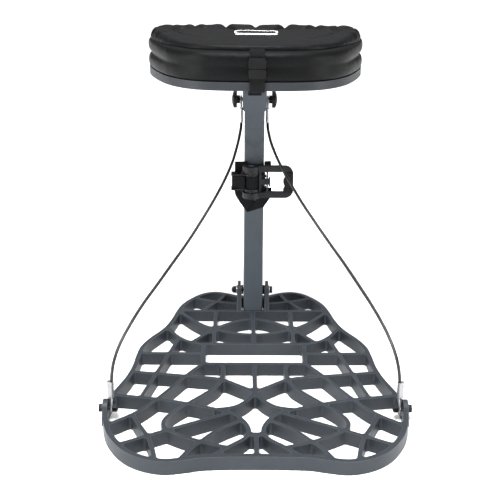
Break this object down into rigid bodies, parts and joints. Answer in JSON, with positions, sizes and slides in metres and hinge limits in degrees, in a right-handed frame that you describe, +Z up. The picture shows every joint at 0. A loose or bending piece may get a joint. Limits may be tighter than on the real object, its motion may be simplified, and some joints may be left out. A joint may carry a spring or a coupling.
{
  "type": "hang-on tree stand",
  "caption": "Hang-on tree stand: ribbed cast foot platform, folding post, padded flip-up seat, suspension cables with swaged ends and a ratchet strap round the post.",
  "frame": {"origin": "on the floor under the middle of the platform", "axes": "+Z up, +Y towards the tree, +X to the sitter's left when facing away from the tree"},
  "size_m": [0.5138, 0.663, 0.604],
  "materials": {
    "slate_cast": "slate grey powder coat over cast aluminium",
    "slate_coat": "slate grey powder coat over extruded aluminium",
    "black_bolt": "black coated steel",
    "zinc_steel": "zinc plated",
    "ferrule_metal": "bare swaged aluminium",
    "wire_rope": "galvanised wire rope",
    "cable_jacket": "black extruded jacket",
    "black_nylon": "moulded glass-filled nylon",
    "webbing": "woven polyester webbing",
    "black_steel": "black powder coat",
    "grip_rubber": "moulded grip",
    "buckle_plastic": "moulded acetal, satin",
    "cushion_cloth": "black woven nylon over foam"
  },
  "bodies": {
    "platform": {"platform_casting": "slate_cast", "hinge_bolt": "black_bolt", "hinge_nut": "black_bolt", "hinge_washers": "zinc_steel", "hinge_spacers": "black_nylon", "cable_bolts": "black_bolt", "cable_nuts": "black_bolt", "lower_eye_left": "wire_rope", "lower_eye_right": "wire_rope", "lower_ferrule_left": "ferrule_metal", "lower_ferrule_right": "ferrule_metal"},
    "post": {"post_tube": "slate_coat", "hinge_bush": "zinc_steel", "post_end_plug": "black_nylon", "pivot_stud": "zinc_steel", "tree_cleat": "slate_cast", "cleat_screws": "black_bolt", "upper_eye_left": "wire_rope", "upper_eye_right": "wire_rope", "upper_ferrule_left": "ferrule_metal", "upper_ferrule_right": "ferrule_metal", "cable_left": "cable_jacket", "cable_right": "cable_jacket", "strap_loop": "webbing", "strap_tail": "webbing", "ratchet_frame": "black_steel", "anchor_pin": "black_steel", "lock_pawl_spring": "zinc_steel"},
    "lock_pawl": {"lock_pawl": "black_steel"},
    "spool": {"ratchet_spool": "zinc_steel", "webbing_roll": "webbing", "ratchet_wheels": "black_steel"},
    "handle": {"ratchet_handle": "black_steel", "handle_grip": "grip_rubber", "drive_pawl_spring": "zinc_steel"},
    "drive_pawl": {"drive_pawl": "black_steel"},
    "knob_left": {"knob_left": "black_nylon"},
    "knob_right": {"knob_right": "black_nylon"},
    "seat": {"seat_yoke": "slate_coat", "seat_pan": "slate_cast", "seat_screws": "black_bolt", "cushion_base": "cushion_cloth", "cushion_top": "cushion_cloth", "cushion_strap": "webbing", "buckle_socket": "buckle_plastic", "buckle_plug": "buckle_plastic"}
  },
  "joints": [
    {"name": "post_fold", "type": "hinge", "parent": "platform", "child": "post", "pos_m": [0, 0.2585, 0.058], "axis": [1, 0, 0], "range_deg": [0, 66], "deforming": ["cable_left", "cable_right"]},
    {"name": "seat_flip", "type": "hinge", "parent": "post", "child": "seat", "pos_m": [0, 0.2585, 0.457], "axis": [-1, 0, 0], "range_deg": [0, 66]},
    {"name": "knob_left_turn", "type": "hinge", "parent": "post", "child": "knob_left", "pos_m": [-0.035, 0.2585, 0.457], "axis": [1, 0, 0], "continuous": true},
    {"name": "knob_right_turn", "type": "hinge", "parent": "post", "child": "knob_right", "pos_m": [0.035, 0.2585, 0.457], "axis": [1, 0, 0], "continuous": true},
    {"name": "spool_turn", "type": "hinge", "parent": "post", "child": "spool", "pos_m": [-0.006, 0.2135, 0.303], "axis": [0, 0, 1], "continuous": true},
    {"name": "handle_swing", "type": "hinge", "parent": "post", "child": "handle", "pos_m": [-0.006, 0.2135, 0.303], "axis": [0, 0, -1], "range_deg": [0, 120]},
    {"name": "drive_pawl_slide", "type": "slide", "parent": "handle", "child": "drive_pawl", "axis": [1, 0, 0], "range_m": [0, 0.004], "stiffness_N_per_m": 600, "deforming": ["drive_pawl_spring"]},
    {"name": "lock_pawl_slide", "type": "slide", "parent": "post", "child": "lock_pawl", "axis": [-1, 0, 0], "range_m": [0, 0.004], "stiffness_N_per_m": 600, "deforming": ["lock_pawl_spring"]}
  ],
  "couplings": [
    {"joint": "seat_flip", "follows": "post_fold", "ratio": 1}
  ]
}
